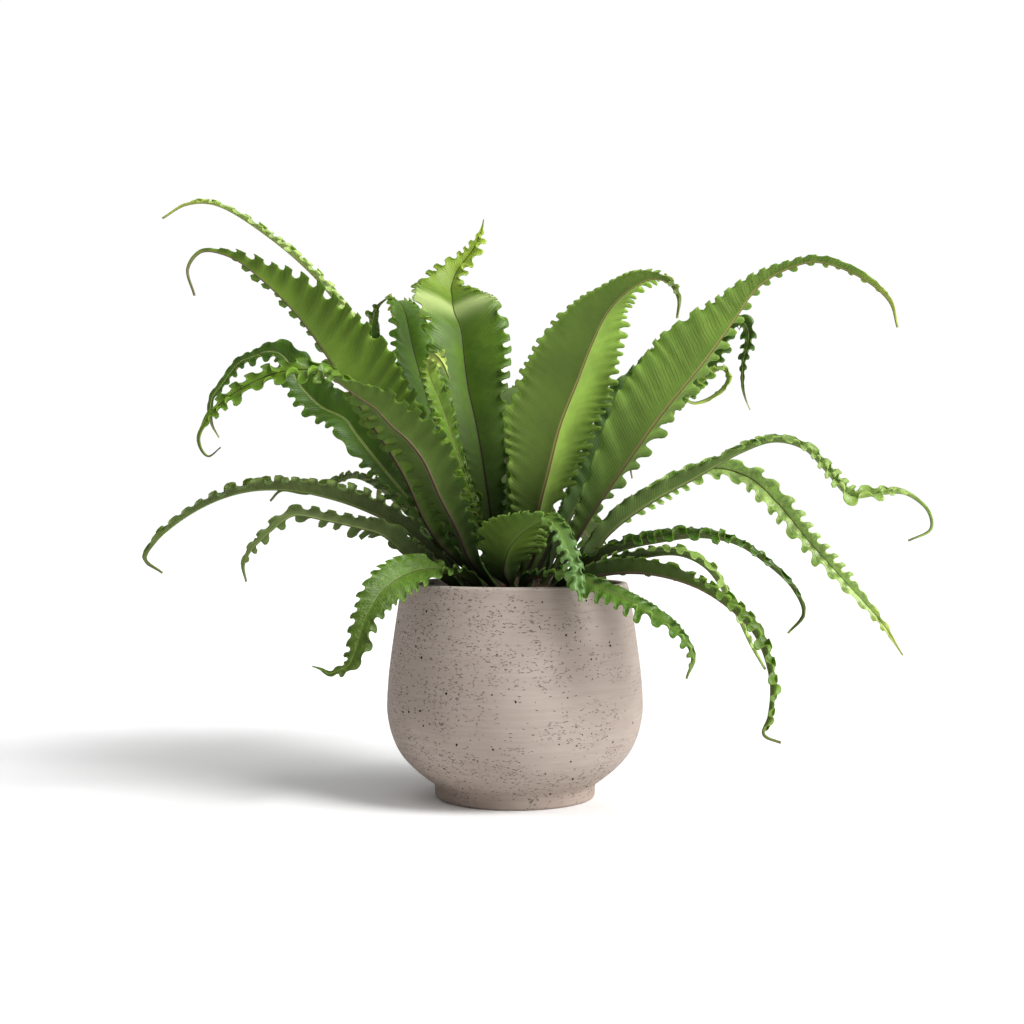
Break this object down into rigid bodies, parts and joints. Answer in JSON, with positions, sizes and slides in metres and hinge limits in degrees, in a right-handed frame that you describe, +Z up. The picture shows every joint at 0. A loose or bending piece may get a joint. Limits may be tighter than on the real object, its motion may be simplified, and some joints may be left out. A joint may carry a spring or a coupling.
{
  "type": "potted fern",
  "caption": "Fern with long, arching, strap-shaped fronds whose edges are tightly crimped, growing from a brown crown in a round, pitted cast pot.",
  "frame": {"origin": "middle of the pot's foot, on the surface it stands on", "axes": "+Z up; -Y is the plant's front, +X its right as seen from the front"},
  "size_m": [0.6012, 0.3875, 0.4616],
  "materials": {
    "pot": "matt cast surface, faintly brushed, with small dark pits",
    "soil": "matt",
    "crown": "matt",
    "leaf_green": "satin",
    "leaf_dark": "satin",
    "leaf_bright": "satin",
    "leaf_pale": "soft satin"
  },
  "bodies": {
    "root": {"pot": "pot", "soil": "soil", "crown": "crown", "frond_left_back_high": "leaf_bright", "frond_left_front_high": "leaf_green", "frond_left_back_mid": "leaf_dark", "frond_left_front_mid": "leaf_green", "frond_left_low_long": "leaf_dark", "frond_left_low_mid": "leaf_dark", "frond_left_back_low": "leaf_dark", "frond_left_rim": "leaf_green", "frond_centre_left_tall": "leaf_green", "frond_centre_right_tall": "leaf_bright", "frond_right_tall": "leaf_bright", "frond_right_behind": "leaf_dark", "frond_right_back_hook": "leaf_dark", "frond_right_back_curl": "leaf_green", "frond_right_upper_long": "leaf_green", "frond_right_drooping": "leaf_pale", "frond_right_mid": "leaf_dark", "frond_right_mid_pale": "leaf_pale", "frond_right_low": "leaf_dark", "frond_front_right": "leaf_green", "frond_front_centre": "leaf_green", "frond_back_left_bright": "leaf_green", "frond_back_left_dark": "leaf_dark", "frond_young_left": "leaf_pale", "frond_young_centre": "leaf_pale", "frond_young_right": "leaf_pale", "frond_back_high": "leaf_green", "frond_back_right_high": "leaf_green", "frond_back_left_mid": "leaf_green", "frond_back_right_low": "leaf_green", "frond_back_left_low": "leaf_green"}
  },
  "joints": []
}
